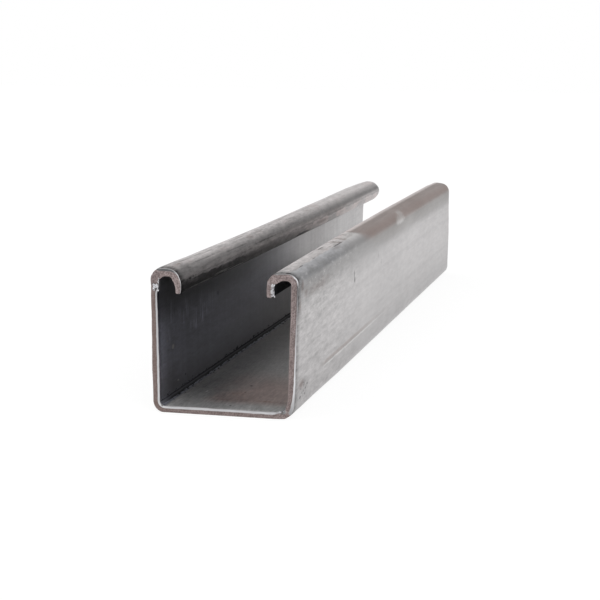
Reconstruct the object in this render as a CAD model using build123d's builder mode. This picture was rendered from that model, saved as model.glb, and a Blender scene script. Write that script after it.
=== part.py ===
# Steel strut channel: one strip of steel rolled into a square section, open along
# one side, with both edges of the strip turned back down into the opening as lips.
# Millimetres. X runs across the section, Y along the length and Z from the back of
# the channel up to its slot. The origin is under the middle of the back.

import os

from build123d import *

# Strip and section
wall = 2.0  # thickness of the strip
width = 41.3  # over both side walls
height = 41.3  # underside of the back to the top of the lips
lip_width = 9.1  # outside of a side wall to the edge of the slot
lip_depth = 7.0  # top of a lip down to its turned-in edge
lip_tuck = 0.3  # how far the edge of a lip turns back from the slot, into its pocket
lip_edge = 1.5  # thickness of the pinched edge of a lip

# Bends, measured on the inside of the strip
back_bend = 1.4  # back to side wall
lip_bend = 1.7  # side wall to lip, and lip to its turned-in edge
tuck_bend = 5.0  # where the edge of a lip turns back
edge_round = 0.45  # corners of the edge of the strip

# Length, and the way the side walls spring apart towards the sheared front end
length = 304.8
spring_run = 180.0  # stretch behind the front end that is sprung
spring_open = 0.87  # how far the top of each side wall stands out at the front end
spring_steps = 5  # straight stretches that make up the sprung length


def section_outline(lean):
    # The right half of the strip, from the middle of the back's underside round to
    # the middle of its upper side. A lean of 0.01 moves the side wall out by 1 mm
    # for each 100 mm of its height.
    side = width / 2
    slot = side - lip_width
    tip = height - lip_depth
    tuck_start = (tip + height - lip_bend - wall) / 2
    corners = [
        (0, 0),
        (side, 0),
        (side, height),
        (slot, height),
        (slot, tuck_start),
        (slot + lip_tuck, tip),
        (slot + lip_tuck + lip_edge, tip),
        (slot + wall, height - wall),
        (side - wall, height - wall),
        (side - wall, wall),
        (0, wall),
    ]
    bends = [
        back_bend + wall,
        lip_bend + wall,
        lip_bend + wall,
        tuck_bend,
        edge_round,
        edge_round,
        lip_bend,
        lip_bend,
        back_bend,
    ]
    leaning = [(x + lean * z if x > 0 else x, z) for x, z in corners]
    with BuildLine() as outline:
        FilletPolyline(*leaning, radius=bends)
        mirror(about=Plane.YZ)
    return outline.line


with BuildPart() as strut_channel:
    # The sprung stretch: sections that straighten up with distance from the front
    for step in range(spring_steps + 1):
        from_front = spring_run * step / spring_steps
        lean = spring_open / height * (1 - step / spring_steps) ** 2
        with BuildSketch(Plane.XZ.offset(length / 2 - from_front)):
            with BuildLine():
                add(section_outline(lean))
            make_face()
    loft(ruled=True)

    # The true stretch, from there to the back end
    with BuildSketch(Plane.XZ.offset(length / 2 - spring_run)):
        with BuildLine():
            add(section_outline(0))
        make_face()
    extrude(amount=spring_run - length)

strut_channel.part.label = "strut_channel"

os.makedirs("parts", exist_ok=True)
export_step(strut_channel.part, "parts/strut_channel.step")
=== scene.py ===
import math
from functools import partial
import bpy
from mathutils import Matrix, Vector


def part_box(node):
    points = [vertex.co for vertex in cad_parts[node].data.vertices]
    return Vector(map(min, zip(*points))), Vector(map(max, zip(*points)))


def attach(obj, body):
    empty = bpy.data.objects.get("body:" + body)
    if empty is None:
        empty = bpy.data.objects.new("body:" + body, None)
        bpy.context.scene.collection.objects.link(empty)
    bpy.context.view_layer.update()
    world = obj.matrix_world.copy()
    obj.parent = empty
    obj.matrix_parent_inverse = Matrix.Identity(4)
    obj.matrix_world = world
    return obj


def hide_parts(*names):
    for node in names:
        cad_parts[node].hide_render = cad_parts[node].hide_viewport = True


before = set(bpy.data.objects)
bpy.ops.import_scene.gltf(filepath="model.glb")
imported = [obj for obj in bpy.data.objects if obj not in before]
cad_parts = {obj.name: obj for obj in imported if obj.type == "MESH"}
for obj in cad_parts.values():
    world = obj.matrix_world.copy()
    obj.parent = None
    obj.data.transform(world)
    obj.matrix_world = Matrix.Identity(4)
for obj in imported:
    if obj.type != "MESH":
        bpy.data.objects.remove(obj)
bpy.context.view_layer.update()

from types import SimpleNamespace

import bmesh
import bpy
import numpy as np
from mathutils import Matrix, Vector

mm = 0.001


# Small helpers for node trees

def feed(tree, socket, value):
    # A socket is linked and anything else is set as the socket's own value
    if isinstance(value, bpy.types.NodeSocket):
        tree.links.new(value, socket)
    else:
        socket.default_value = value


def addNode(tree, kind, inputs=None, **settings):
    # A node with its settings, and with its inputs, given by name or by number, fed
    node = tree.nodes.new(kind)
    for name, value in settings.items():
        setattr(node, name, value)
    for socket, value in (inputs or {}).items():
        feed(tree, node.inputs[socket], value)
    return node


def mathOf(tree, operation, *values, clamp=False):
    inputs = dict(enumerate(values))
    return addNode(tree, "ShaderNodeMath", inputs, operation=operation, use_clamp=clamp).outputs[0]


def productOf(tree, *values):
    total = values[0]
    for value in values[1:]:
        total = mathOf(tree, "MULTIPLY", total, value)
    return total


def blendOf(tree, share, first, second):
    # from the first number to the second
    return addNode(tree, "ShaderNodeMix", {0: share, 2: first, 3: second}, data_type="FLOAT").outputs[0]


def vectorOf(tree, operation, *values, output=0):
    inputs = dict(enumerate(values))
    return addNode(tree, "ShaderNodeVectorMath", inputs, operation=operation).outputs[output]


def scaled(tree, vector, factor):
    return addNode(tree, "ShaderNodeVectorMath", {0: vector, "Scale": factor}, operation="SCALE").outputs[0]


def offsetBy(tree, place, direction, distance):
    # a point moved along a direction
    return vectorOf(tree, "ADD", place, scaled(tree, direction, distance))


def splitXyz(tree, vector):
    return addNode(tree, "ShaderNodeSeparateXYZ", {0: vector}).outputs


def joinXyz(tree, x, y, z):
    return addNode(tree, "ShaderNodeCombineXYZ", {0: x, 1: y, 2: z}).outputs[0]


def emptyTree(owner):
    owner.use_nodes = True
    owner.node_tree.nodes.clear()
    return owner.node_tree


def addToScene(name, data):
    thing = bpy.data.objects.new(name, data)
    bpy.context.scene.collection.objects.link(thing)
    return thing


# Camera: to the right of the near end, looking along the channel and slightly down

cameraSetup = {
    "place": (121.4 * mm, -580.4 * mm, 104.1 * mm),
    "turnLeft": math.radians(13.09),
    "lookDown": math.radians(9.05),
    "roll": math.radians(0.45),
    "lens": 96.7,
    "sensor": 36.0,
    "nearest": 0.02,
    "farthest": 50,
}


def makeCamera(setup):
    turn, down, roll = setup["turnLeft"], setup["lookDown"], setup["roll"]
    ahead = Vector((-math.sin(turn) * math.cos(down), math.cos(turn) * math.cos(down), -math.sin(down)))
    level = ahead.cross(Vector((0, 0, 1))).normalized()
    above = level.cross(ahead)
    right = level * math.cos(roll) + above * math.sin(roll)
    up = above * math.cos(roll) - level * math.sin(roll)
    data = bpy.data.cameras.new("camera")
    data.lens = setup["lens"]
    data.sensor_width = setup["sensor"]
    data.clip_start, data.clip_end = setup["nearest"], setup["farthest"]
    camera = addToScene("camera", data)
    axes = Matrix((right, up, -ahead)).transposed().to_4x4()
    camera.matrix_world = Matrix.Translation(setup["place"]) @ axes
    bpy.context.scene.camera = camera


makeCamera(cameraSetup)
print("camera placed")


# Studio: a white floor, a white world behind it and a soft lamp

studioSetup = {
    "white": (1, 1, 1, 1),
    "floorSize": 6.0,
    "floorColour": (0.85, 0.85, 0.85, 1),
    "floorGlow": 0.8,
    "floorLight": 1.09,
    "worldLight": 0.8,
    # how light the room is in the metal: level with the floor, less to the right and upwards
    "roomLevel": 0.82,
    "roomRight": -0.55,
    "roomUp": -0.35,
    "roomLeast": 0.25,
    "lamps": [
        # name, place, aims at, width, height, watts
        ("frontLamp", (0.9, -1.6, 0.9), (0, 0, 0.02), 1.2, 0.9, 12.0),
    ],
}


def seenDirectly(tree):
    # 1 for rays that come from the camera or off metal or glass
    path = addNode(tree, "ShaderNodeLightPath").outputs
    either = mathOf(tree, "MAXIMUM", path["Is Camera Ray"], path["Is Glossy Ray"])
    return mathOf(tree, "MAXIMUM", either, path["Is Transmission Ray"])


def makeFloor(setup):
    half = setup["floorSize"] / 2
    mesh = bpy.data.meshes.new("floor")
    corners = [(-half, -half, 0), (half, -half, 0), (half, half, 0), (-half, half, 0)]
    mesh.from_pydata(corners, [], [(0, 1, 2, 3)])
    floor = addToScene("floor", mesh)
    material = bpy.data.materials.new("floorPaper")
    tree = emptyTree(material)
    paper = addNode(tree, "ShaderNodeBsdfDiffuse", {"Color": setup["floorColour"]})
    glow = addNode(tree, "ShaderNodeEmission", {"Color": setup["white"], "Strength": setup["floorLight"]})
    share = mathOf(tree, "MULTIPLY", seenDirectly(tree), setup["floorGlow"])
    both = addNode(tree, "ShaderNodeMixShader", {0: share, 1: paper.outputs[0], 2: glow.outputs[0]})
    addNode(tree, "ShaderNodeOutputMaterial", {0: both.outputs[0]})
    mesh.materials.append(material)


def makeWorld(setup):
    world = bpy.data.worlds.new("studio")
    bpy.context.scene.world = world
    tree = emptyTree(world)
    path = addNode(tree, "ShaderNodeLightPath").outputs
    # what the metal sees: a white room that darkens upwards and to the right
    towards = splitXyz(tree, addNode(tree, "ShaderNodeTexCoord").outputs["Generated"])
    room = mathOf(tree, "MULTIPLY_ADD", towards[0], setup["roomRight"], setup["roomLevel"])
    room = mathOf(tree, "MULTIPLY_ADD", towards[2], setup["roomUp"], room)
    room = mathOf(tree, "MINIMUM", mathOf(tree, "MAXIMUM", room, setup["roomLeast"]), 1.0)
    level = blendOf(tree, path["Is Glossy Ray"], setup["worldLight"], room)
    seen = blendOf(tree, path["Is Camera Ray"], level, 1.0)
    background = addNode(tree, "ShaderNodeBackground", {"Color": setup["white"], "Strength": seen})
    addNode(tree, "ShaderNodeOutputWorld", {0: background.outputs[0]})


def makeLamps(setup):
    for name, place, target, width, height, watts in setup["lamps"]:
        data = bpy.data.lights.new(name, "AREA")
        data.shape = "RECTANGLE"
        data.size, data.size_y = width, height
        data.energy = watts
        lamp = addToScene(name, data)
        lamp.location = place
        lamp.rotation_euler = (Vector(target) - Vector(place)).to_track_quat("-Z", "Y").to_euler()


makeFloor(studioSetup)
makeWorld(studioSetup)
makeLamps(studioSetup)
bpy.context.scene.view_settings.view_transform = "Standard"
print("studio set")


# The channel: a flat strip, rolled along the path of its section by Geometry Nodes

channelSetup = {
    "wall": 2.0 * mm,
    "lipWidth": 9.1 * mm,
    "lipDepth": 7.0 * mm,
    "lipEdge": 1.5 * mm,
    "lipTuck": 0.3 * mm,
    "tuckRun": 2.6 * mm,
    "backBend": 1.4 * mm,
    "lipBend": 1.7 * mm,
    "edgeRound": 0.45 * mm,
    "width": 41.3 * mm,
    "springRun": 180.0 * mm,
    "springOpen": 0.87 * mm,
    "waviness": 0.16 * mm,
    "waveScale": 95.0,
    "waveStretch": 0.28,
    "waveDetail": 1.5,
    "evenRows": 0.08,
    "bendSteps": 11,
    "flatStep": 0.62 * mm,
    "rowsAlong": 124,
    "rowsAcross": 11,
    "edgeSteps": 5,
}

# inputs of the tree: name, kind and the value that each takes, from above or from rollChannel
rollInputs = [
    ("Wall", "Float", "wall"), ("Length", "Float", "length"), ("Height", "Float", "height"),
    ("Lip depth", "Float", "lipDepth"), ("Lip edge", "Float", "lipEdge"),
    ("Lip tuck", "Float", "lipTuck"), ("Tuck run", "Float", "tuckRun"),
    ("Edge round", "Float", "edgeRound"), ("Spring run", "Float", "springRun"),
    ("Spring open", "Float", "springOpen"), ("Flat step", "Float", "flatStep"),
    ("Waviness", "Float", "waviness"), ("Wave scale", "Float", "waveScale"),
    ("Wave stretch", "Float", "waveStretch"), ("Wave detail", "Float", "waveDetail"),
    ("Even rows", "Float", "evenRows"), ("Bend steps", "Int", "bendSteps"),
    ("Rows along", "Int", "rowsAlong"), ("Rows across", "Int", "rowsAcross"),
    ("Steel", "Material", "steel"),
]


def sectionPath(setup, height):
    # Corners of the middle of the strip, from the edge of the left lip round to the
    # edge of the right one, each with its bend radius at mid thickness
    half = setup["wall"] / 2
    side = setup["width"] / 2 - half
    slot = setup["width"] / 2 - setup["lipWidth"] + half
    tip = height - setup["lipDepth"]
    lipRadius = setup["lipBend"] + half
    backRadius = setup["backBend"] + half
    left = []
    for step in range(setup["edgeSteps"]):
        # closely spaced points where the edge of the strip is rounded
        rise = setup["edgeRound"] * (1 - math.cos(math.pi / 2 * step / (setup["edgeSteps"] - 1)))
        left.append((-slot, tip + rise, 0))
    left.append((-slot, height - half, lipRadius))
    left.append((-side, height - half, lipRadius))
    left.append((-side, half, backRadius))
    right = [(-x, z, radius) for x, z, radius in reversed(left)]
    return left + right


def rollingTree():
    tree = bpy.data.node_groups.new("rolledStrip", "GeometryNodeTree")
    calc, times = partial(mathOf, tree), partial(productOf, tree)
    face = tree.interface
    face.new_socket("Section path", in_out="INPUT", socket_type="NodeSocketGeometry")
    sockets = {}
    for name, kind, key in rollInputs:
        sockets[key] = face.new_socket(name, in_out="INPUT", socket_type="NodeSocket" + kind).identifier
    face.new_socket("Channel", in_out="OUTPUT", socket_type="NodeSocketGeometry")
    given = addNode(tree, "NodeGroupInput").outputs

    # the path, with its corners rounded and its flats cut into short steps
    fillet = addNode(tree, "GeometryNodeFilletCurve", {
        "Curve": given["Section path"],
        "Count": given["Bend steps"],
        "Radius": addNode(tree, "GeometryNodeInputRadius").outputs[0],
        "Limit Radius": True,
    }, mode="POLY")
    here = addNode(tree, "GeometryNodeInputPosition").outputs[0]
    index = addNode(tree, "GeometryNodeInputIndex").outputs[0]
    following = addNode(tree, "GeometryNodeFieldAtIndex", {"Index": calc("ADD", index, 1), "Value": here},
                        data_type="FLOAT_VECTOR", domain="POINT")
    gap = vectorOf(tree, "DISTANCE", here, following.outputs[0], output="Value")
    cuts = calc("FLOOR", calc("DIVIDE", gap, given["Flat step"]))
    divide = addNode(tree, "GeometryNodeSubdivideCurve", {"Curve": fillet.outputs[0], "Cuts": cuts})
    path = divide.outputs[0]
    pathSize = addNode(tree, "GeometryNodeAttributeDomainSize", {0: path}, component="CURVE")
    pathPoints = pathSize.outputs["Point Count"]

    # the flat strip: a block of one unit, X through the wall, Y along, Z across the strip
    block = addNode(tree, "GeometryNodeMeshCube", {
        "Size": (1, 1, 1),
        "Vertices X": given["Rows across"],
        "Vertices Y": given["Rows along"],
        "Vertices Z": pathPoints,
    })
    unit = splitXyz(tree, here)
    through = calc("ADD", unit[0], 0.5)
    row = calc("ROUND", times(calc("ADD", unit[2], 0.5), calc("SUBTRACT", pathPoints, 1)))

    def onPath(value, kind):
        inputs = {"Geometry": path, "Value": value, "Index": row}
        sample = addNode(tree, "GeometryNodeSampleIndex", inputs, data_type=kind, domain="POINT", clamp=True)
        return sample.outputs[0]

    def rest(value, reach):
        # 1 where a value is 0, falling to 0 at its reach
        return calc("SUBTRACT", 1, calc("DIVIDE", value, reach, clamp=True))

    middle = onPath(here, "FLOAT_VECTOR")
    tangent = onPath(addNode(tree, "GeometryNodeInputTangent").outputs[0], "FLOAT_VECTOR")
    along = onPath(addNode(tree, "GeometryNodeSplineParameter").outputs["Length"], "FLOAT")
    total = addNode(tree, "GeometryNodeCurveLength", {0: path}).outputs[0]
    fromEdge = calc("MINIMUM", along, calc("SUBTRACT", total, along))
    fromMiddle = calc("SUBTRACT", along, times(total, 0.5))
    inward = vectorOf(tree, "NORMALIZE", vectorOf(tree, "CROSS_PRODUCT", tangent, (0, 1, 0)))

    # the wall: full thickness, pinched along the lips, whose edges are rounded and tucked back
    pinched = rest(fromEdge, calc("SUBTRACT", given["Lip depth"], given["Wall"]))
    thinner = calc("SUBTRACT", given["Wall"], given["Lip edge"])
    thickness = calc("SUBTRACT", given["Wall"], times(thinner, pinched))
    turn = rest(fromEdge, given["Edge round"])
    drop = calc("SUBTRACT", 1, calc("SQRT", calc("SUBTRACT", 1, times(turn, turn))))
    shave = times(drop, given["Edge round"])
    solid = calc("SUBTRACT", thickness, times(shave, 2))
    back = rest(fromEdge, given["Tuck run"])
    tuck = times(back, back, given["Lip tuck"])
    depth = calc("ADD", times(through, solid), calc("SUBTRACT", shave, times(given["Wall"], 0.5)))
    section = offsetBy(tree, middle, inward, calc("ADD", depth, tuck))

    # rows stand closer together towards both ends
    eased = times(calc("SINE", times(unit[1], math.pi)), 0.5)
    spread = blendOf(tree, given["Even rows"], eased, unit[1])
    lengthwise = times(spread, given["Length"])

    # the side walls lean apart towards the front end
    fromFront = calc("ADD", lengthwise, times(given["Length"], 0.5))
    sprung = rest(fromFront, given["Spring run"])
    lean = times(sprung, sprung, calc("DIVIDE", given["Spring open"], given["Height"]))
    parts = splitXyz(tree, section)
    shift = times(lean, parts[2], calc("SIGN", parts[0]))
    place = joinXyz(tree, calc("ADD", parts[0], shift), lengthwise, parts[2])

    # rolling leaves long shallow waves in the faces
    stretched = vectorOf(tree, "MULTIPLY", place, joinXyz(tree, 1, given["Wave stretch"], 1))
    waves = addNode(tree, "ShaderNodeTexNoise", {
        "Vector": stretched,
        "Scale": given["Wave scale"],
        "Detail": given["Wave detail"],
    }, noise_dimensions="3D")
    swell = times(calc("SUBTRACT", waves.outputs[0], 0.5), given["Waviness"])
    place = offsetBy(tree, place, inward, swell)

    # what the finishes follow is kept on the points before they move
    shape = block.outputs["Mesh"]
    for name, kind, value in [
        ("through", "FLOAT", through), ("along", "FLOAT", fromFront), ("strip", "FLOAT", fromMiddle),
        ("inward", "FLOAT_VECTOR", inward), ("rolled", "FLOAT_VECTOR", place),
    ]:
        inputs = {"Geometry": shape, "Name": name, "Value": value}
        keep = addNode(tree, "GeometryNodeStoreNamedAttribute", inputs, data_type=kind, domain="POINT")
        shape = keep.outputs[0]
    rolled = addNode(tree, "GeometryNodeInputNamedAttribute", {"Name": "rolled"}, data_type="FLOAT_VECTOR")
    move = addNode(tree, "GeometryNodeSetPosition", {"Geometry": shape, "Position": rolled.outputs[0]})
    # rolling turns the block's faces inwards, so they are turned back
    outwards = addNode(tree, "GeometryNodeFlipFaces", {0: move.outputs[0]})
    real = addNode(tree, "GeometryNodeRealizeInstances", {0: outwards.outputs[0]})
    paint = addNode(tree, "GeometryNodeSetMaterial", {
        "Geometry": real.outputs[0],
        "Material": given["Steel"],
    })
    addNode(tree, "NodeGroupOutput", {0: paint.outputs[0]})
    return tree, sockets


def rollChannel(setup, length, height, steel):
    curve = bpy.data.curves.new("sectionPath", "CURVE")
    curve.dimensions = "3D"
    spline = curve.splines.new("POLY")
    corners = sectionPath(setup, height)
    spline.points.add(len(corners) - 1)
    for point, (x, z, radius) in zip(spline.points, corners):
        point.co = (x, 0, z, 1)
        point.radius = radius
    pathObject = addToScene("sectionPath", curve)
    tree, sockets = rollingTree()
    roll = pathObject.modifiers.new("rolledStrip", "NODES")
    roll.node_group = tree
    values = dict(setup, length=length, height=height, steel=steel)
    for key, identifier in sockets.items():
        roll[identifier] = values[key]
    bpy.context.view_layer.update()
    graph = bpy.context.evaluated_depsgraph_get()
    mesh = bpy.data.meshes.new_from_object(pathObject.evaluated_get(graph))
    mesh.name = "channelBody"
    bpy.data.objects.remove(pathObject)
    print("strip rolled:", len(mesh.vertices), "points,", len(mesh.polygons), "faces")
    return mesh


# Sheared ends

shearSetup = {
    # the blade came down from the upper right: the side of the strip that it met, which faces this
    # way, is drawn over and cut bright, and the rest has broken away rough
    "blade": (0.74, 0.0, 0.67),
    "bladeSoft": 0.4,
    "drawOver": 0.17 * mm,
    "drawReach": 1.4 * mm,
    "drawShare": 0.6,  # share of the wall, from the side that the blade met, that is drawn over
    "drawUneven": 0.35,
    "cutUneven": 0.06,
    "cutSoft": 0.12,
    "breakBack": 0.2 * mm,
    "breakReach": 2.0 * mm,
    "grain": 0.07 * mm,
    "burr": 0.09 * mm,
    "burrHangs": (0.8, 1.0),  # shares of the wall from which the burr hangs, and stands forward
    "burrStands": (0.86, 1.0),
    "burrUneven": 0.6,
    "uneven": 0.1 * mm,
    "bruiseUneven": 0.4,
    "tearReach": 1.6 * mm,
    "seed": 11,
    # random lines: what they shape, added to the seed, how many waves, and the longest in mm
    "ripples": {
        "drawn": (0, 5, 20), "burr": (1, 4, 30), "cut": (2, 9, 12), "grain": (3, 9, 3.5),
        "grainThrough": (4, 6, 9), "end": (5, 5, 60), "bruise": (6, 5, 5),
    },
    # by place across the strip from the middle of its back, in mm: the share that the blade cut
    # before the rest broke, how bright that is, how bright its rim is and how light the break is; the
    # brightness of the cut and its rim is partly the burnish and partly painted highlight where the
    # rolled-over edge catches the light
    "cuts": [
        (-68.7, 0.10, 0.30, 0.2, 1.00), (-66.5, 0.10, 0.40, 0.4, 1.00), (-65.0, 0.12, 0.75, 0.8, 1.00),
        (-63.6, 0.14, 0.80, 1.0, 1.00), (-62.4, 0.34, 0.17, 0.4, 1.00), (-60.5, 0.44, 0.15, 0.3, 1.00),
        (-58.8, 0.36, 0.15, 0.2, 0.98), (-57.0, 0.12, 0.20, 0.1, 0.90), (-54.0, 0.10, 0.30, 0.0, 0.82),
        (-53.0, 0.32, 0.50, 0.0, 0.78), (-49.0, 0.35, 0.62, 0.0, 0.64), (-20.0, 0.38, 0.74, 0.0, 0.66),
        (-17.0, 0.40, 0.72, 0.0, 0.74), (-14.0, 0.42, 0.66, 0.0, 0.76), (14.6, 0.42, 0.68, 0.0, 0.80),
        (16.0, 0.20, 0.40, 0.0, 0.85), (18.0, 0.45, 0.30, 0.1, 0.85), (21.5, 0.55, 0.55, 0.2, 0.82),
        (24.5, 0.34, 0.80, 0.4, 0.80), (30.0, 0.26, 0.85, 0.6, 0.82), (40.0, 0.20, 0.65, 0.4, 0.85),
        (46.0, 0.13, 0.30, 0.1, 0.90), (53.5, 0.22, 0.03, 0.0, 0.84), (55.2, 0.22, 0.08, 0.0, 0.86),
        (56.2, 0.20, 0.90, 0.9, 0.95), (57.5, 0.22, 1.00, 1.0, 0.94), (58.2, 0.16, 0.45, 0.3, 0.93),
        (59.0, 0.12, 0.16, 0.0, 0.92), (61.5, 0.20, 0.22, 0.1, 0.92), (64.0, 0.14, 0.25, 0.1, 0.93),
        (68.7, 0.12, 0.25, 0.0, 0.94),
    ],
    # where the blade bruised an end's section: X, Z, radius, moved by X, Z and run along, in mm,
    # negative from the far end
    "bruises": [
        (21.2, 40.6, 3.4, 0.30, 0.22, 15),
        (12.3, 38.4, 2.6, 0.16, 0.10, 15),
        (12.8, 34.6, 1.6, -0.10, 0.0, 15),
        (-12.2, 40.4, 3.0, -0.08, -0.08, 15),
        (-21.4, 31.0, 9.0, 0.14, 0.0, 15),
        (-20.0, 0.6, 3.2, -0.10, -0.05, 15),
        (-21.6, 37.0, 2.8, 0.08, 0.0, 15),
        (20.3, 0.4, 3.8, -0.26, 0.26, 15),
        (18.0, 2.8, 1.4, -0.40, 0.35, 5),
        (-19.2, 36.8, 1.7, 0.50, 0.0, 3),
        (-19.0, 38.7, 1.3, 0.35, -0.35, 3),
        (-14.5, 37.9, 1.3, -0.45, -0.10, 6),
        (14.35, 36.4, 1.5, 0.40, 0.0, 3),
        (14.8, 38.8, 1.3, 0.40, -0.50, 3),
        (-12.4, 33.6, 3.2, -0.20, 1.5, -16),
        (-12.0, 41.0, 3.0, -0.5, -0.4, -8),
    ],
    # where the strip stands out of its section: place and reach across the strip, how far its outer
    # and its inner side follow, then distances from the front with how far it stands out, in mm
    "bows": [
        (62.9, 3.0, 1, 0, [
            (0, 0.1), (50, 0.32), (110, 0.55), (160, 0.75), (200, 0.82), (285, 0.80), (300, 0.5)]),
        (-57.8, 3.2, 1, 0, [
            (0, 0.12), (20, 0.27), (110, 0.27), (200, 0.5), (260, 0.75), (290, 0.45), (304, 0.1)]),
        (-60.0, 3.0, 1, 0, [(0, 0.24), (1.2, 0.3), (3.5, 0.34), (10, 0.24), (28, 0), (300, 0)]),
        (37.0, 15.0, 1, 1, [(0, 0), (200, 0), (300, 0.33)]),
        (-37.0, 14.0, 1, 1, [(0, 0), (215, 0), (304, 0.6)]),
        (20.5, 3.0, 1, 0, [(0, 0), (8, -0.3), (30, -0.34), (58, 0), (300, 0)]),
        (-33.0, 10.0, 0, 1, [(0, -0.13), (10, -0.10), (40, 0), (300, 0)]),
        (-49.0, 7.0, 0, 1, [(0, 0.13), (10, 0.08), (40, 0), (300, 0)]),
        (0.0, 16.0, 0, 1, [(0, -0.14), (10, -0.10), (40, 0), (300, 0)]),
    ],
    # dents torn into the front end: X, Z, radius, depth, in mm
    "tears": [
        (-20.0, 35.9, 1.0, 0.12),
        (-20.9, 36.7, 0.5, 0.3),
        (13.9, 36.3, 0.9, 0.1),
        (13.9, 35.0, 0.8, 0.1),
        (16.9, 2.0, 0.8, 0.2),
        (-18.3, 2.0, 0.5, 0.3),
    ],
    # torn crumbs that hang on the front end: X, Z, spread in X and Z, how many, radius, in mm
    "crumbs": [
        (-19.95, 35.9, 0.80, 0.95, 70, 0.23),
        (-19.1, 37.8, 0.20, 0.80, 9, 0.18),
        (14.08, 36.4, 0.50, 1.70, 76, 0.19),
        (14.40, 34.75, 0.30, 0.30, 9, 0.18),
        (16.7, 2.1, 0.90, 0.25, 8, 0.18),
    ],
    "crumbDepth": 0.02,  # how far their middles lie behind the front end, in mm
    # least and most, as shares of the radius: a crumb's size, its squash and its dents
    "crumbSizes": (0.6, 1.15),
    "crumbSquash": (0.55, 1.2),
    "crumbDents": (0.72, 1.15),
}


def ripple(where, seed, waves, longest):
    # A smooth random line from -1 to 1 or so, always the same for the same seed
    dice = np.random.default_rng(seed)
    total = np.zeros_like(where)
    for step in range(waves):
        size = longest / 1.7 ** step
        total += np.sin(where * (2 * math.pi / size) + dice.uniform(0, 2 * math.pi)) * 0.8 ** step
    return total / 2


def smooth(value, low, high):
    share = np.clip((value - low) / (high - low), 0, 1)
    return share * share * (3 - 2 * share)


def fading(distance, reach):
    # 1 at no distance, falling to 0 at the reach
    return np.clip(1 - distance / reach, 0, 1)


def readPoints(mesh, name, kind="value", width=1):
    data = np.zeros(len(mesh.vertices) * width)
    mesh.attributes[name].data.foreach_get(kind, data)
    return data if width == 1 else data.reshape(-1, width)


def shearEnds(mesh, setup, length):
    points = np.zeros(len(mesh.vertices) * 3)
    mesh.vertices.foreach_get("co", points)
    points = points.reshape(-1, 3)
    through, along, strip = (readPoints(mesh, name) for name in ("through", "along", "strip"))
    inward = readPoints(mesh, "inward", "vector", 3)
    met = np.clip(-(inward @ np.array(setup["blade"])) / setup["bladeSoft"], -1, 1)
    fromOuter = 0.5 + 0.5 * met
    bite = fromOuter * through + (1 - fromOuter) * (1 - through)
    places, *cuts = np.array(setup["cuts"]).T
    share, shine, rim, broken = (np.interp(strip / mm, places, values) for values in cuts)

    def random(name, where, end=0):
        added, waves, longest = setup["ripples"][name]
        return ripple(where, setup["seed"] + 20 * end + added, waves, longest * mm)

    def nearTo(x, z, radius):
        return np.hypot(points[:, 0] - x * mm, points[:, 2] - z * mm) / (radius * mm)

    for end, outwards in ((0, -1.0), (1, 1.0)):
        away = length - along if end else along
        # the drawn-over side, and the burr that hangs on the far side
        near = fading(away, setup["drawReach"]) ** 2
        over = near * fading(bite, setup["drawShare"]) * setup["drawOver"]
        over = over * (1 + setup["drawUneven"] * random("drawn", strip, end))
        hang = near ** 2 * smooth(bite, *setup["burrHangs"]) * setup["burr"]
        over = over + hang * (1 + setup["burrUneven"] * random("burr", strip, end))
        points += inward * (over * (2 * fromOuter - 1))[:, None]
        # the broken part of the end lies back and is rough, and the whole end is a little uneven
        edge = share + setup["cutUneven"] * random("cut", strip, end)
        rough = smooth(bite, edge, edge + setup["cutSoft"])
        grain = random("grain", strip + bite * 0.003, end)
        grain = grain * random("grainThrough", bite * 0.01 + strip * 0.3, end)
        back = rough * (setup["breakBack"] * (0.6 + 0.4 * bite) + setup["grain"] * grain)
        back += setup["uneven"] * (1 + random("end", strip, end)) * 0.5
        back -= smooth(bite, *setup["burrStands"]) * setup["burr"] * 2
        points[:, 1] -= outwards * back * fading(away, setup["breakReach"])
    for x, z, radius, moveX, moveZ, run in setup["bruises"]:
        away = along if run > 0 else length - along
        push = np.exp(-nearTo(x, z, radius) ** 2) * fading(away, abs(run) * mm) ** 2
        push *= 1 + setup["bruiseUneven"] / radius * random("bruise", strip)
        points[:, 0] += push * moveX * mm
        points[:, 2] += push * moveZ * mm
    for place, reach, onOuter, onInner, line in setup["bows"]:
        push = np.exp(-((strip / mm - place) / reach) ** 2) * np.interp(along / mm, *zip(*line))
        push *= onOuter * (1 - through) + onInner * through
        points -= inward * (push * mm)[:, None]
    torn = np.zeros(len(points))
    for x, z, radius, depth in setup["tears"]:
        dent = np.exp(-nearTo(x, z, radius) ** 2 * 1.6) * fading(along, setup["tearReach"])
        points[:, 1] += dent * depth * mm
        torn = np.maximum(torn, dent)
    points[:, 2] = np.maximum(points[:, 2], 0)
    mesh.vertices.foreach_set("co", points.ravel())
    kept = {"bite": bite, "torn": torn, "shine": shine, "share": share, "rim": rim, "broken": broken}
    for name, values in kept.items():
        mesh.attributes.new(name, "FLOAT", "POINT").data.foreach_set("value", values)
    # faces of the two ends take the second material
    atEnd = (along < 1e-6) | (along > length - 1e-6)
    for polygon in mesh.polygons:
        polygon.material_index = int(all(atEnd[corner] for corner in polygon.vertices))
    mesh.update()
    print("ends sheared:", sum(polygon.material_index for polygon in mesh.polygons), "end faces")


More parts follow.
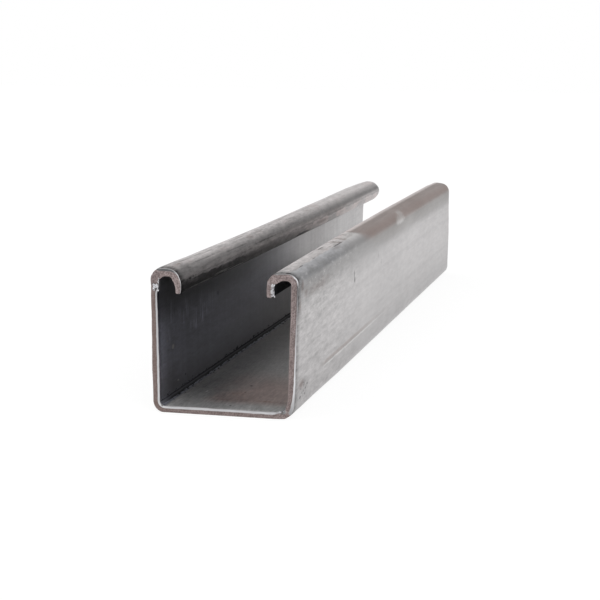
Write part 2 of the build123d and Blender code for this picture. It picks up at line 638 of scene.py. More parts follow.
def addCrumbs(mesh, setup, front):
    # small dented balls sunk into the front end, that take the third material
    dice = np.random.default_rng(setup["seed"])
    body = bmesh.new()
    body.from_mesh(mesh)
    for x, z, spreadX, spreadZ, count, size in setup["crumbs"]:
        for crumb in range(count):
            spotX = x + spreadX * dice.uniform(-1, 1)
            spotZ = z + spreadZ * dice.uniform(-1, 1)
            middle = Vector((spotX, setup["crumbDepth"], spotZ)) * mm
            middle.y += front
            radius = size * mm * dice.uniform(*setup["crumbSizes"])
            ball = bmesh.ops.create_icosphere(body, subdivisions=2, radius=radius)
            squash = Vector(dice.uniform(*setup["crumbSquash"], 3))
            for point in ball["verts"]:
                point.co = middle + point.co * squash * dice.uniform(*setup["crumbDents"])
            for polygon in {polygon for point in ball["verts"] for polygon in point.link_faces}:
                polygon.material_index = 2
    body.to_mesh(mesh)
    body.free()
    print("crumbs added:", len(mesh.polygons), "faces")


# Finishes

class Finish:
    # A new finish from its setup, and short names for the nodes that it is made of. It reads Object
    # coordinates and what the piece's points hold: along and strip in metres, through and bite 0 to 1.
    def __init__(self, name, setup):
        self.setup = setup
        self.material = bpy.data.materials.new(name)
        self.tree = emptyTree(self.material)
        self.shader = addNode(self.tree, "ShaderNodeBsdfPrincipled")
        addNode(self.tree, "ShaderNodeOutputMaterial", {0: self.shader.outputs[0]})
        self.place = addNode(self.tree, "ShaderNodeTexCoord").outputs["Object"]
        self.calc = partial(mathOf, self.tree)
        self.times = partial(productOf, self.tree)
        self.blend = partial(blendOf, self.tree)
        self.tint = partial(scaled, self.tree)

    def stored(self, *names):
        nodes = [addNode(self.tree, "ShaderNodeAttribute", attribute_name=name) for name in names]
        return [node.outputs["Fac"] for node in nodes]

    def noises(self, rows, flat):
        # noises by name: what they follow, scale, seed, detail, roughness and stretch
        found = {}
        for name, (follows, scale, seed, detail, rough, stretch) in rows.items():
            where = vectorOf(self.tree, "MULTIPLY", flat if follows == "flat" else self.place, stretch)
            inputs = {"Vector": where, "W": seed, "Scale": scale, "Detail": detail, "Roughness": rough}
            found[name] = addNode(self.tree, "ShaderNodeTexNoise", inputs, noise_dimensions="4D").outputs[0]
        return SimpleNamespace(**found)

    def rest(self, value):
        return self.calc("SUBTRACT", 1.0, value)

    def lift(self, value, factor, base=1.0):
        # a base, and a factor of a value on top
        return self.calc("MULTIPLY_ADD", value, factor, base)

    def swing(self, noise, reach, base=1.0):
        # a base that a noise moves up and down
        return self.lift(self.calc("SUBTRACT", noise, 0.5), reach, base)

    def ramp(self, value, low, high, toLow=0.0, toHigh=1.0):
        # smoothly from one level to another while the value goes from low to high
        inputs = dict(enumerate((value, low, high, toLow, toHigh)))
        return addNode(self.tree, "ShaderNodeMapRange", inputs, interpolation_type="SMOOTHSTEP").outputs[0]

    def shown(self, value, name):
        # how much of a value shows, by the levels that the setup gives
        return self.ramp(value, *self.setup["shows"][name])

    def fade(self, value, low, high, toLow=0.0, toHigh=1.0):
        # the same, with low and high in mm
        return self.ramp(value, low * mm, high * mm, toLow, toHigh)

    def band(self, value, middle, reach, soft):
        # 1 inside a band, falling to 0 over soft outside it, all in mm
        gap = self.calc("ABSOLUTE", self.calc("SUBTRACT", value, middle * mm))
        return self.fade(gap, reach + soft, reach)

    def most(self, *values):
        total = values[0]
        for value in values[1:]:
            total = self.calc("MAXIMUM", total, value)
        return total

    def mix(self, share, first, second):
        # from the first colour to the second
        first, second = ((*item, 1) if isinstance(item, tuple) else item for item in (first, second))
        inputs = {0: share, 6: first, 7: second}
        return addNode(self.tree, "ShaderNodeMix", inputs, data_type="RGBA").outputs[2]

    def profile(self, value, stops):
        # a line through stops, given as places in mm and levels
        node = addNode(self.tree, "ShaderNodeValToRGB")
        longest = stops[-1][0]
        line = node.color_ramp
        while len(line.elements) < len(stops):
            line.elements.new(0.5)
        for element, (place, level) in zip(line.elements, stops):
            element.position = place / longest
            element.color = (level, level, level, 1)
        feed(self.tree, node.inputs[0], self.calc("DIVIDE", value, longest * mm))
        return node.outputs[0]

    def done(self, inputs, relief=None):
        # the finished material, from the shader's inputs and its relief in metres
        if relief is not None:
            bump = {"Strength": 1.0, "Distance": 1.0, "Height": relief}
            inputs["Normal"] = addNode(self.tree, "ShaderNodeBump", bump).outputs[0]
        for name, value in inputs.items():
            feed(self.tree, self.shader.inputs[name], value)
        return self.material


steelSetup = {
    # how light the strip is, by place across it from the middle of its back, in mm: outside on the
    # right and on the left, then inside near the front and far from it. Besides the steel's own tone
    # these hold painted shade: high on the right wall below the shoulder, on the slot face and lip of
    # the left hook, and inside under the lips, darkest near the front
    "rightShadedGrey": [
        (0, 0.42), (17, 0.42), (21.5, 0.36), (24.5, 0.39), (28, 0.43), (33, 0.47), (40, 0.50), (46, 0.51),
        (49.5, 0.47), (52, 0.345), (54.5, 0.275), (56.2, 0.30), (57.6, 0.48), (59.2, 0.57), (61, 0.58),
        (69, 0.58),
    ],
    "leftShadedGrey": [
        (0, 0.42), (20, 0.46), (54, 0.50), (61.2, 0.57), (62, 0.49), (63.1, 0.345), (63.9, 0.25),
        (64.6, 0.25), (65.2, 0.46), (66.1, 0.26), (66.8, 0.2), (69, 0.21),
    ],
    "insideShadedGrey": [
        (0, 0.36), (19, 0.17), (21.5, 0.17), (25, 0.25), (31, 0.34), (38, 0.36), (42, 0.31), (45, 0.17),
        (47.5, 0.10), (51, 0.08), (55, 0.08), (60, 0.09), (69, 0.06),
    ],
    "insideFarGrey": [
        (0, 0.36), (19, 0.23), (25, 0.30), (31, 0.33), (37, 0.34), (42, 0.42), (46, 0.41), (50, 0.36),
        (69, 0.32),
    ],
    "brownGrey": [
        (0, 0.33), (53, 0.33), (54.4, 0.315), (55, 0.28), (55.7, 0.30), (56.5, 0.35), (57.4, 0.335),
        (58.4, 0.275), (59.2, 0.24), (60.5, 0.225), (69, 0.25),
    ],
    # tints of those greys; shaded is the cool cast of painted shade inside near the front
    "warm": (1.035, 1.0, 1.005),
    "smooth": (0.99, 0.99, 1.03),
    "gritty": (1.06, 1.0, 0.995),
    "shaded": (0.98, 1.0, 1.16),
    "brown": (1.0, 0.713, 0.627),
    "dull": (0.78, 0.725, 0.70),
    # colours
    "pink": (0.50, 0.42, 0.41),
    "pale": (0.62, 0.585, 0.57),
    # painted highlight: the colour of the light line along the top of the right hook
    "skyline": (0.66, 0.585, 0.57),
    "blush": (0.42, 0.345, 0.33),
    "rust": (0.25, 0.185, 0.165),
    # near black, for soot and for painted shade
    "soot": (0.012, 0.012, 0.013),
    "rub": (0.68, 0.67, 0.66),
    "backGrey": (0.285, 0.28, 0.268),
    "backBrown": (0.255, 0.19, 0.168),
    # how strongly each thing covers what is below it, from 0 to 1
    "cover": {
        "scale": 0.93, "pinkEdge": 0.5, "paleEdge": 0.6, "skyline": 0.8, "bloom": 0.4, "blush": 0.35,
        "slotDirt": 0.74, "back": 0.9, "creaseBrown": 0.5, "crease": 0.6, "corner": 0.97,
        "aboveCorner": 0.85, "hookLine": 0.55, "pits": 0.85, "worn": 0.42, "rubbed": 0.34,
    },
    # how much of a noise shows: the levels between which it goes from nothing to full
    "shows": {
        "bloom": (0.5, 0.62), "blush": (0.4, 0.55), "slotDirt": (0.85, 0.45), "pits": (0.55, 0.63),
        "worn": (0.5, 0.38), "rubbed": (0.55, 0.63), "scratches": (0.50, 0.64),
    },
    # how far noises move a border, in mm
    "sway": {
        "hook": 1.4, "scale": 6, "scaleFine": 4, "slot": 2.4, "back": 30, "lines": 0.5,
        "belowCorner": 15, "aboveCorner": -10, "scratches": 14,
    },
    # how much lighter some places are: painted light inside near the front, on the back and beside its
    # inner corner, and along the left slot far from the front; painted shade high on the right wall
    # below the shoulder and on the right hook near the front; then the faint lines along the right
    # wall, and the left hook far from the front
    "lighter": {
        "insideFront": 0.7, "farShoulder": -0.09, "farther": 0.2, "slotFarther": 4.6, "leftPale": 0.14,
        "byCorner": 0.3, "faint": -0.06, "hookFront": -0.13, "lit": 0.38,
    },
    # borders, from 0 at the first place to 1 at the second, in mm: across the strip, then along it
    "hookBorder": (58.6, 59.1),
    "slotBorder": (65.9, 66.3),
    "brownBorder": (54.8, 56.6),
    "belowCorner": (18.3, 18.6),
    "aboveCorner": (20.9, 20.5),
    "farInside": (90, 190),
    "insideFront": (14, 0),
    "slotDirtAndShadeRun": (88, 55),
    "cornerRun": (-8, 10),
    # the same past the start of the brown scale, and down from its top
    "topHighlightRun": (-0.5, 6),
    "paleEdgeLow": (3, 0.5),
    # the same along it, with the two levels that it goes between
    "slotDrop": (34, 16, 0.2 * mm, 0.7 * mm),
    "fartherRun": (190, 250, 1.0, 0.8),
    "hookStreaks": (100, 220, 0.45, 0.15),
    "insideGrit": (200, 60, 0.3, 0.4),
    # the brown scale starts at this distance from the front, in mm, at this place across the strip,
    # later below it and sooner above it, and more softly the lower it is
    "scaleStart": 100.0,
    "scaleTop": 59.5,
    "scaleLean": 0.5,
    "scaleRise": 0.6,
    "scaleSoft": ((-2.5, -0.5 * mm), (3.5, 1.5 * mm)),
    # lines: place, half width and softness in mm, across the strip or past the start of the scale
    "lines": {
        "pinkEdge": (-13, 3, 3), "paleEdge": (-3.5, 2.2, 1.6), "creaseBrown": (26.8, 0.2, 0.7),
        "crease": (25.9, 0.12, 0.3), "hookLine": (65.2, 0.1, 0.3), "faintHigh": (43.2, 0.3, 1.0),
        "faintLow": (31.4, 0.2, 0.9), "scratches": (42, 4, 3),
    },
    # the same with a strength: the dark lines before the scale and the inner corner's black lines,
    # partly dirt and partly painted shade over the bend
    "scaleLines": [
        (-8, 0.6, 1.2, 0.6), (-18.5, 0.7, 1.5, 0.6), (-27, 0.6, 1.5, 0.65), (-46, 0.4, 1.4, 0.3),
    ],
    "cornerLines": [(19.0, 0.4, 0.3, 1.0), (20.4, 0.25, 0.3, 1.0), (19.8, 0.8, 0.4, 0.82)],
    # how coarse the texture is: near the front, at least and less on the shoulder, and how far the
    # scale, the far left side and the inner walls calm it
    "coarse": {"near": 0.7, "least": 0.12, "shoulder": 0.2},
    "calm": {"scale": 0.7, "left": 0.7, "inside": 0.65},
    # how far each noise moves the lightness, and how much more where the texture is coarse
    "clouds": 0.36,
    "patches": 0.3,
    "grain": (1.1, 0.35),
    "streaks": (0.7, 0.2),  # on the left hook, and everywhere
    "backGrit": 0.5,
    "bands": (0.42, 0.05),  # inside, and everywhere
    "mottle": 0.8,
    "scratches": 0.8,
    # what each noise follows, scale, seed, detail, roughness and stretch
    "noises": {
        "clouds": ("place", 75, 1, 4, 0.55, (1, 0.35, 1)),
        "patches": ("place", 26, 14, 2, 0.5, (1, 0.6, 1)),
        "rag": ("place", 600, 2, 5, 0.72, (1, 0.5, 1)),
        "grain": ("place", 620, 3, 5, 0.62, (1, 0.2, 1)),
        "grit": ("place", 1500, 11, 3, 0.6, (1, 0.2, 1)),
        "bloom": ("place", 170, 6, 4, 0.5, (1, 0.3, 1)),
        "speckle": ("place", 1100, 10, 3, 0.5, (1, 1, 1)),
        "mottle": ("place", 520, 12, 5, 0.72, (1, 0.3, 1)),
        "wander": ("flat", 160, 7, 3, 0.5, (1, 1, 1)),
        "streaks": ("flat", 900, 4, 3, 0.5, (1, 0.03, 1)),
        "bands": ("flat", 220, 5, 3, 0.5, (0.08, 1, 1)),
        "jagged": ("flat", 720, 8, 4, 0.65, (1, 0.5, 1)),
        "scratches": ("flat", 620, 15, 4, 0.7, (0.16, 1, 1)),
    },
    # zones: the side, then fades across the strip and fades along it from the front, each from
    # where a zone begins to where it is full, in mm
    "zones": {
        "near": ("all", [], [(140, 10)]),
        "shoulder": ("outerRight", [(55, 56.5)], []),
        "smoothShoulder": ("outerRight", [(55, 56.5)], [(90, 50)]),
        "spottedShoulder": ("outerRight", [(55, 56.5)], [(100, 60)]),
        "hookFront": ("outerRight", [], [(22, 6)]),
        "farShoulder": ("outerRight", [(45, 48), (58, 55)], [(50, 80), (160, 110)]),
        "nearShoulder": ("outerRight", [(40, 47), (58.5, 56.5)], [(120, 30)]),
        "rightHook": ("outerRight", [(49, 54.8)], []),
        "scaleEdge": ("outerRight", [(54, 57)], []),
        "skyline": ("outerRight", [(60.4, 61.6), (64.8, 63.6)], []),
        "rightWall": ("outerRight", [(22, 23), (55.5, 54.5)], []),
        "creased": ("outerRight", [(22, 23), (55.5, 54.5)], [(28, 45), (160, 70)]),
        "leftHook": ("outerLeft", [(57, 58.5), (63.5, 62)], []),
        "leftCalm": ("left", [], [(120, 240)]),
        "leftPale": ("outerLeft", [(57, 59), (66, 64)], [(90, 250)]),
        "leftFar": ("outerLeft", [(61, 62)], [(90, 180)]),
        "leftStreaked": ("outerLeft", [(58, 60)], [(140, 50)]),
        "leftLined": ("outerLeft", [], [(100, 50)]),
        "lowLip": ("outerLeft", [(64.5, 66)], [(120, 180)]),
        "back": ("inner", [(18, 16.5)], []),
        "backFront": ("inner", [], [(30, 0)]),
        "backLit": ("inner", [], [(170, 110), (-10, 30)]),
        "backBrown": ("inner", [], [(60, 30), (4, 12)]),
        "byCorner": ("innerLeft", [(13, 17.5), (19.5, 18.5)], []),
        "belowCorner": ("inner", [(19.2, 18.9)], [(4, 12)]),
        "aboveCorner": ("inner", [(20, 20.4)], []),
        "innerWall": ("inner", [(18, 21)], []),
        "scratched": ("inner", [(18, 21)], [(4, 14), (70, 35)]),
    },
    # zones with painted shade, and by how much: the rolled-over front edge, the fronts of both hooks,
    # and the crease along the left hook's slot far from the front
    "shades": [
        (0.36, "outer", [], [(4.2, 0.8)]),
        (0.27, "outerLeft", [(55, 58)], [(22, 3)]),
        (0.3, "outerRight", [(50, 53)], [(7, 2)]),
        (0.3, "outerLeft", [(63.4, 64.3), (66.4, 65.5)], [(130, 200)]),
    ],
    # marks by side and kind: place across and along, reach across and run along in mm, strength; the
    # dark kind is partly soot and partly painted shadow, as in the crevices at the front of the right hook
    "marks": {
        ("outer", "soot"): [
            (47.4, 82.6, 1.9, 0.8, 0.5), (45.6, 83.3, 1.3, 1.5, 0.55), (48.5, 126.0, 1.6, 0.9, 0.16),
            (45.6, 132.0, 1.8, 1.4, 0.14), (22.7, 6.5, 0.6, 0.8, 0.85), (22.7, 12.6, 0.6, 0.7, 0.75),
            (24.0, 10.0, 0.5, 0.6, 0.7), (25.3, 14.5, 0.5, 0.8, 0.6), (-62.6, 30.0, 0.25, 14.0, 0.35),
            (-63.4, 60.0, 0.22, 18.0, 0.35), (-64.4, 95.0, 0.28, 18.0, 0.45), (-65.4, 8.2, 0.6, 0.9, 1.0),
            (-65.2, 11.2, 0.4, 0.8, 0.9), (49.5, 0.6, 3.5, 1.3, 0.4), (-68.0, 148.0, 0.6, 14.0, 0.6),
            (59.2, 0.6, 0.8, 0.9, 0.7), (58.9, 15.5, 0.22, 3.4, 0.7), (59.0, 33.5, 0.2, 3.0, 0.55),
            (58.9, 69.0, 0.24, 11.0, 0.7), (61.3, 56.0, 0.22, 6.0, 0.6), (62.6, 46.0, 0.2, 4.0, 0.5),
        ],
        ("outer", "rust"): [
            (26.5, 7.0, 2.2, 6.0, 0.5), (54.6, 5.0, 2.4, 3.0, 0.5), (58.3, 62.0, 0.9, 9.0, 0.35),
            (52.6, 10.5, 2.4, 4.0, 0.35), (52.0, 28.0, 2.4, 22.0, 0.3), (-61.2, 8.0, 0.35, 6.0, 0.8),
            (-60.4, 16.0, 0.3, 6.0, 0.4), (49.5, 2.6, 3.5, 2.0, 0.5), (-61.9, 82.0, 1.2, 6.0, 0.3),
            (-61.5, 96.0, 1.0, 6.0, 0.25), (-61.4, 168.0, 1.0, 8.0, 0.25), (-66.8, 182.0, 1.0, 14.0, 0.3),
        ],
        ("outer", "rub"): [
            (59.6, 90.0, 2.2, 12.0, 0.55), (-67.7, 41.0, 0.4, 12.0, 0.4), (-68.15, 20.0, 0.2, 19.0, 0.5),
            (-68.2, 56.0, 0.22, 16.0, 0.65), (55.9, 173.0, 1.9, 12.0, 0.55), (57.3, 177.0, 1.6, 7.0, 0.45),
        ],
        ("inner", "soot"): [
            (-23.8, 24.4, 0.4, 0.6, 0.85), (-21.2, 15.0, 0.4, 1.0, 0.6), (-43.0, 60.0, 0.9, 1.4, 0.4),
            (-0.4, 31.8, 0.5, 0.8, 0.8), (0.2, 22.5, 0.4, 0.6, 0.7), (0.8, 4.0, 0.5, 0.6, 0.7),
        ],
        ("inner", "rust"): [
            (-2.7, 11.2, 3.2, 0.55, 0.75), (2.3, 12.5, 2.6, 0.45, 0.75), (9.0, 12.0, 4.0, 1.6, 0.5),
            (-0.5, 20.0, 4.5, 7.0, 0.5), (-12.4, 7.2, 1.6, 0.8, 0.7),
        ],
        ("inner", "rub"): [
            (-34.2, 12.7, 0.9, 1.5, 2.0), (-36.8, 7.4, 0.4, 0.9, 0.6), (-23.5, 17.1, 0.4, 1.1, 0.7),
            (-11.1, 21.2, 0.5, 1.2, 0.7),
        ],
    },
    # how ragged the borders of each kind of mark are
    "ragged": {"soot": 0.6, "rub": 0.6, "rust": 1.0},
    # the pits low at the front: place across and along, reach and run in mm, ragged and soft
    "pits": (24.5, 9, 4.5, 8, 0.2, 0.9),
    # where light is painted on the back, by place across it in mm, with the levels that it goes between
    "litLeft": (-4, -12, 0.75, 1.0),
    "litRight": (-13, 3),
    "backBrownFrom": (-13, 2),
    # how much less metallic the back is where light is painted on it
    "litMetal": -0.42,
    # how far soot and painted shade take the shine off
    "sootAndShadeDulls": 0.85,
    "roughness": 0.36,
    "rougher": {"clouds": 0.2, "dirt": 0.3, "coarse": 0.12},
    # relief, in mm
    "grainRelief": 0.008,
    "coarseRelief": 0.03,
    "gritRelief": 0.014,
    "streakRelief": 0.008,
    "cloudRelief": 0.10,
    "dirtRelief": 0.03,
    "creaseRelief": 0.05,
}


def millSteel(setup):
    finish = Finish("millSteel", setup)
    calc, times, most, ramp, fade, band = (
        finish.calc, finish.times, finish.most, finish.ramp, finish.fade, finish.band)
    rest, lift, swing, blend, mix, tint, shown = (
        finish.rest, finish.lift, finish.swing, finish.blend, finish.mix, finish.tint, finish.shown)
    through, strip, along = finish.stored("through", "strip", "along")
    across = calc("ABSOLUTE", strip)
    flat = joinXyz(finish.tree, strip, along, 0.0)
    noise = finish.noises(setup["noises"], flat)
    inside, right = ramp(through, 0.35, 0.65), fade(strip, -1, 1)
    outside, left = rest(inside), rest(right)
    sides = {
        "all": 1.0,
        "left": left,
        "outer": outside,
        "outerRight": times(outside, right),
        "outerLeft": times(outside, left),
        "inner": inside,
        "innerLeft": times(inside, left),
    }

    def zoneOf(side, acrossFades, alongFades):
        fades = [fade(across, *places) for places in acrossFades]
        fades += [fade(along, *places) for places in alongFades]
        return times(sides[side], *fades)

    def blot(placeAcross, placeAlong, reach, run, ragged, soft):
        # 1 at a place on the strip, falling to 0 over its reach across and its run along, in mm
        gap = vectorOf(finish.tree, "SUBTRACT", flat, (placeAcross * mm, placeAlong * mm, 0.0))
        gap = vectorOf(finish.tree, "MULTIPLY", gap, (1 / (reach * mm), 1 / (run * mm), 0.0))
        size = vectorOf(finish.tree, "LENGTH", gap, output="Value")
        return ramp(swing(noise.rag, ragged * 2, size), 1.0, 1.0 - soft)

    def greyOf(name):
        return finish.profile(across, setup[name])

    def lineAt(value, name):
        return band(value, *setup["lines"][name])

    def linesAt(value, name):
        return most(*(times(band(value, *line), strength) for *line, strength in setup[name]))

    def sway(source, name, base):
        return swing(source, setup["sway"][name] * mm, base)

    zone = SimpleNamespace(**{name: zoneOf(*row) for name, row in setup["zones"].items()})
    cover, lighter = SimpleNamespace(**setup["cover"]), SimpleNamespace(**setup["lighter"])

    # how light the bare strip is, with the painted shade that its greys hold
    outer = blend(right, greyOf("leftShadedGrey"), greyOf("rightShadedGrey"))
    deep = fade(along, *setup["farInside"])
    inner = blend(deep, greyOf("insideShadedGrey"), greyOf("insideFarGrey"))
    # painted light: the inside lighter towards the front end, where light falls in
    inner = times(inner, lift(fade(along, *setup["insideFront"]), lighter.insideFront))
    grey = blend(inside, outer, inner)
    grey = times(grey, swing(noise.clouds, setup["clouds"]))
    grey = times(grey, swing(noise.patches, times(sides["outerRight"], setup["patches"])))
    # inside near the front the greys take the cool cast of painted shade
    colour = tint(mix(times(inside, rest(deep)), setup["warm"], setup["shaded"]), grey)

    # the tops of the hooks are gritty up to a ragged line along each shoulder
    hookTop = times(outside, fade(sway(noise.wander, "hook", across), *setup["hookBorder"]))
    belowTop = rest(hookTop)
    colour = mix(hookTop, colour, tint(setup["gritty"], grey))
    colour = mix(times(zone.smoothShoulder, belowTop), colour, tint(setup["smooth"], grey))
    # painted shade high on the right wall below the shoulder, away from the front
    colour = tint(colour, lift(zone.farShoulder, lighter.farShoulder))

    # brown scale on the right hook, that starts in a curve with a pale edge and dark lines before it,
    # with a painted highlight along the hook's top past its start
    upward = calc("SUBTRACT", strip, setup["scaleTop"] * mm)
    lower = calc("MAXIMUM", times(upward, -1.0), 0.0)
    past = calc("SUBTRACT", along, setup["scaleStart"] * mm)
    past = calc("SUBTRACT", past, times(lower, lower, setup["scaleLean"] / mm))
    past = lift(calc("MAXIMUM", upward, 0.0), setup["scaleRise"], past)
    past = sway(noise.rag, "scaleFine", sway(noise.wander, "scale", past))
    brownHook = times(zone.rightHook, ramp(past, *(lift(lower, *soft) for soft in setup["scaleSoft"])))
    brown = mix(fade(across, *setup["brownBorder"]), setup["dull"], setup["brown"])
    colour = mix(times(brownHook, cover.scale), colour, tint(brown, greyOf("brownGrey")))
    topRight = times(hookTop, right)
    colour = mix(times(topRight, lineAt(past, "pinkEdge"), cover.pinkEdge), colour, setup["pink"])
    paleEdge = times(zone.scaleEdge, lineAt(past, "paleEdge"), fade(lower, *setup["paleEdgeLow"]))
    colour = mix(times(paleEdge, cover.paleEdge), colour, setup["pale"])
    lines = times(topRight, linesAt(past, "scaleLines"))
    colour = mix(lines, colour, setup["rust"])
    # painted highlight along the top of the right hook past the start of the scale
    skyline = times(zone.skyline, fade(past, *setup["topHighlightRun"]), cover.skyline)
    colour = mix(skyline, colour, setup["skyline"])

    # pink bloom on the left hook, and low on its lip far from the front
    colour = mix(times(zone.leftHook, shown(noise.bloom, "bloom"), cover.bloom), colour, setup["pink"])
    colour = mix(times(zone.lowLip, shown(noise.bloom, "blush"), cover.blush), colour, setup["blush"])

    # dirt and painted shade make the slot's left face near black towards the front, with a ragged
    # edge, and painted light makes it lighter farther on
    slotEdge = calc("ADD", sway(noise.wander, "slot", across), fade(along, *setup["slotDrop"]))
    slotFace = times(sides["outerLeft"], fade(slotEdge, *setup["slotBorder"]))
    slotShadeAndDirt = times(slotFace, fade(along, *setup["slotDirtAndShadeRun"]), shown(noise.grain, "slotDirt"))
    colour = mix(times(slotShadeAndDirt, cover.slotDirt), colour, setup["soot"])
    farther = times(zone.leftFar, fade(along, *setup["fartherRun"]), lift(slotFace, lighter.slotFarther))
    colour = tint(colour, lift(farther, lighter.farther))
    colour = tint(colour, lift(zone.leftPale, lighter.leftPale))

    # the back: painted light to the right and near the front, and brown near the front
    lit = most(times(zone.backFront, fade(strip, *setup["litLeft"])),
               times(zone.backLit, fade(strip, *setup["litRight"])))
    lit = times(zone.back, lit)
    rusty = times(zone.backBrown, fade(sway(noise.clouds, "back", strip), *setup["backBrownFrom"]))
    bare = mix(rusty, setup["backGrey"], setup["backBrown"])
    colour = mix(times(zone.back, cover.back), colour, bare)
    # painted light on the back beside the inner corner, against the shade that falls there
    colour = tint(colour, lift(zone.byCorner, lighter.byCorner))

    # the rolled crease low on the right wall, pale with brown above it
    wavy = sway(noise.wander, "lines", across)
    creaseBrown = times(zone.creased, lineAt(wavy, "creaseBrown"), cover.creaseBrown)
    colour = mix(creaseBrown, colour, setup["rust"])
    crease = times(zone.creased, lineAt(wavy, "crease"))
    colour = mix(times(crease, cover.crease), colour, setup["rub"])

    # dirt and painted shade: the inner corner's black lines, partly dirt and partly painted shade over
    # the bend, with a ragged border, a line along the left hook, pits low at the front, and marks
    corner = times(linesAt(wavy, "cornerLines"), fade(along, *setup["cornerRun"]), cover.corner)
    below = fade(sway(noise.jagged, "belowCorner", across), *setup["belowCorner"])
    above = fade(sway(noise.jagged, "aboveCorner", across), *setup["aboveCorner"])
    grimeAndShade = most(corner, times(zone.belowCorner, below), times(zone.aboveCorner, above, cover.aboveCorner))
    grimeAndShade = times(inside, lift(left, 0.7, 0.3), grimeAndShade)  # less on the right, where it doesn't show
    # a painted shadow in the crease along the left hook near the front
    hookLine = times(zone.leftLined, lineAt(wavy, "hookLine"), cover.hookLine)
    pits = times(zone.rightWall, shown(noise.speckle, "pits"), blot(*setup["pits"]), cover.pits)
    # the dark kind gathers dirt and painted shade
    found = {"soot": most(grimeAndShade, pits, hookLine), "rub": 0.0, "rust": 0.0}
    for (side, kind), rows in setup["marks"].items():
        ragged = setup["ragged"][kind]
        for *spot, strength in rows:
            mark = times(blot(*spot, ragged, ragged), strength, sides[side])
            found[kind] = most(found[kind], mark)
    worn = times(zone.nearShoulder, shown(noise.mottle, "worn"), cover.worn)
    rubbed = times(zone.nearShoulder, shown(noise.mottle, "rubbed"), cover.rubbed)
    found["rub"] = most(found["rub"], rubbed)
    colour = mix(worn, colour, setup["backGrey"])
    for kind in ("rust", "rub", "soot"):
        colour = mix(found[kind], colour, setup[kind])

    # texture: strong near the front and on the gritty tops, faint far along the walls
    amount = setup["coarse"]
    coarse = most(times(zone.near, amount["near"]), hookTop, amount["least"])
    coarse = calc("SUBTRACT", coarse, times(zone.shoulder, belowTop, amount["shoulder"]))
    amount = setup["calm"]
    calm = most(times(brownHook, amount["scale"]), times(zone.leftCalm, amount["left"]),
                times(zone.innerWall, amount["inside"]))
    coarse = times(coarse, rest(calm))
    onHook, everywhere = setup["streaks"]
    streaky = lift(hookTop, fade(along, *setup["hookStreaks"]), everywhere)
    streaky = lift(zone.leftStreaked, onHook, streaky)
    gritty = times(inside, lift(zone.back, setup["backGrit"], fade(along, *setup["insideGrit"])))
    level = swing(noise.grain, lift(coarse, *setup["grain"]))
    level = swing(noise.grit, coarse, level)
    level = swing(noise.streaks, streaky, level)
    level = swing(noise.grit, gritty, level)
    level = swing(noise.bands, lift(inside, *setup["bands"]), level)
    level = swing(noise.mottle, times(zone.spottedShoulder, belowTop, setup["mottle"]), level)

    # upright scratches high inside, faint lines along the right wall, and the painted shade and light
    # of whole zones
    scratched = times(zone.scratched, lineAt(sway(noise.wander, "scratches", across), "scratches"))
    scratched = times(scratched, setup["scratches"])
    level = lift(shown(noise.scratches, "scratches"), scratched, level)
    faint = most(lineAt(wavy, "faintHigh"), lineAt(wavy, "faintLow"))
    level = lift(times(zone.rightWall, faint), lighter.faint, level)
    for darker, *row in setup["shades"]:
        level = lift(zoneOf(*row), -darker, level)
    # painted shade on the top of the right hook near the front
    level = lift(times(hookTop, zone.hookFront), lighter.hookFront, level)
    # painted light on the back
    level = lift(lit, lighter.lit, level)
    colour = tint(colour, level)

    # the shader's other inputs, and its relief
    clean = lift(found["soot"], -setup["sootAndShadeDulls"])
    amount = setup["rougher"]
    rough = swing(noise.clouds, amount["clouds"], setup["roughness"])
    rough = lift(most(found["soot"], found["rust"]), amount["dirt"], rough)
    rough = lift(coarse, amount["coarse"], rough)
    relief = swing(noise.grain, lift(coarse, setup["coarseRelief"] * mm, setup["grainRelief"] * mm), 0.0)
    relief = swing(noise.grit, times(coarse, setup["gritRelief"] * mm), relief)
    relief = swing(noise.streaks, setup["streakRelief"] * mm, relief)
    relief = swing(noise.clouds, setup["cloudRelief"] * mm, relief)
    relief = lift(most(found["soot"], lines), -setup["dirtRelief"] * mm, relief)
    relief = lift(crease, setup["creaseRelief"] * mm, relief)
    return finish.done({
        "Base Color": colour,
        "Metallic": times(lift(lit, setup["litMetal"]), clean),
        "Specular IOR Level": times(clean, 0.5),
        "Roughness": rough,
    }, relief)


shearedSetup = {
    "bright": (0.80, 0.80, 0.82),
    "drawn": (0.36, 0.35, 0.355),
    "break": (0.425, 0.352, 0.345),
    "breakWarm": (0.25, 0.185, 0.166),
    "breakDark": (0.20, 0.162, 0.158),
    "burr": (0.30, 0.255, 0.25),
    "torn": (0.16, 0.15, 0.148),
    "crumb": (0.70, 0.70, 0.72),
    # how much of each thing shows: the levels between which it goes from nothing to full, or
    # between the two levels that follow
    "shows": {
        "mottle": (0.38, 0.62), "specks": (0.58, 0.66), "warmth": (0.92, 0.62, 0.0, 0.6),
        "cut": (0.04, -0.06), "cutStreaks": (0.2, 0.6, 0.85, 1.05), "rim": (0.12, 0.03),
        "rimStreaks": (0.35, 0.6, 0.3, 1.0), "burr": (0.9, 1.0), "torn": (0.25, 0.6),
    },
    "mottled": (0.4, 0.6),  # shares of the streaks and of the grain
    "speckled": 0.35,
    "cutSway": 0.16,
    "tornGrain": 0.3,
    "roughness": 0.62,
    "cutSmoother": 0.3,
    "cutFlatter": 0.8,
    "crumbRoughness": 0.3,
    "grainRelief": 0.10,  # in mm, as the next
    "streakRelief": 0.05,
    "noises": {
        "wander": ("flat", 500, 1, 3, 0.5, (1, 0.2, 1)),
        "streaks": ("flat", 2600, 2, 3, 0.5, (0.12, 1, 1)),
        "grain": ("place", 2400, 3, 3, 0.5, (1, 1, 1)),
    },
}


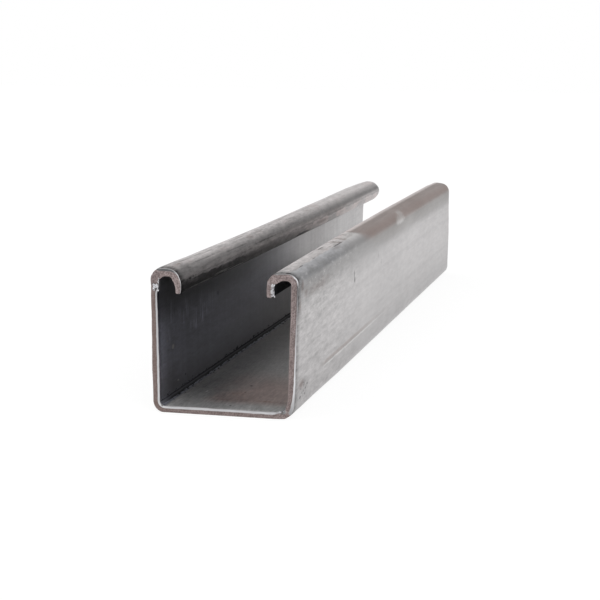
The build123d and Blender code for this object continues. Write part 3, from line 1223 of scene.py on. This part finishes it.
def shearedSteel(setup, wall):
    finish = Finish("shearedSteel", setup)
    calc, times, shown, lift, swing, mix, tint = (
        finish.calc, finish.times, finish.shown, finish.lift, finish.swing, finish.mix, finish.tint)
    strip, bite, torn, shine, share, rim, broken = finish.stored(
        "strip", "bite", "torn", "shine", "share", "rim", "broken")
    noise = finish.noises(setup["noises"], joinXyz(finish.tree, strip, times(bite, wall), 0.0))

    # the break: rough and brown, darker in its hollows
    mottle = calc("ADD", *map(times, (noise.streaks, noise.grain), setup["mottled"]))
    colour = mix(shown(mottle, "mottle"), setup["breakDark"], setup["break"])
    colour = mix(times(shown(noise.grain, "specks"), setup["speckled"]), colour, setup["drawn"])
    colour = tint(colour, broken)
    colour = mix(shown(broken, "warmth"), colour, setup["breakWarm"])

    # the bright cut band and its drawn-over rim, partly painted highlight, the burr on the far side and
    # the tears
    shifted = swing(noise.wander, setup["cutSway"], bite)
    cut = shown(calc("SUBTRACT", shifted, share), "cut")
    bright = tint(setup["bright"], times(shine, shown(noise.streaks, "cutStreaks")))
    colour = mix(cut, colour, bright)
    rim = times(rim, shown(noise.streaks, "rimStreaks"))
    colour = mix(shown(shifted, "rim"), colour, mix(rim, setup["drawn"], setup["bright"]))
    colour = mix(shown(shifted, "burr"), colour, setup["burr"])
    torn = times(torn, calc("ADD", noise.grain, setup["tornGrain"]))
    colour = mix(shown(torn, "torn"), colour, setup["torn"])

    relief = swing(noise.grain, setup["grainRelief"] * mm, 0.0)
    relief = swing(noise.streaks, setup["streakRelief"] * mm, relief)
    return finish.done({
        "Base Color": colour,
        "Metallic": 1.0,
        "Roughness": lift(cut, -setup["cutSmoother"], setup["roughness"]),
    }, times(relief, lift(cut, -setup["cutFlatter"])))


def crumbSteel(setup):
    finish = Finish("crumbSteel", setup)
    return finish.done({
        "Base Color": (*setup["crumb"], 1),
        "Metallic": 1.0,
        "Roughness": setup["crumbRoughness"],
    })


# The finished channel

low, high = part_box("strut_channel")
fullLength, fullHeight = high.y - low.y, high.z - low.z
steel = millSteel(steelSetup)
channelMesh = rollChannel(channelSetup, fullLength, fullHeight, steel)
channelMesh.materials.clear()
for material in (steel, shearedSteel(shearedSetup, channelSetup["wall"]), crumbSteel(shearedSetup)):
    channelMesh.materials.append(material)
shearEnds(channelMesh, shearSetup, fullLength)
addCrumbs(channelMesh, shearSetup, -fullLength / 2)
channel = addToScene("channelBody", channelMesh)
smoothFaces = [polygon.material_index < 2 for polygon in channelMesh.polygons]
channelMesh.polygons.foreach_set("use_smooth", smoothFaces)
channelMesh.set_sharp_from_angle(angle=math.radians(40))
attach(channel, "root")
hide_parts("strut_channel")
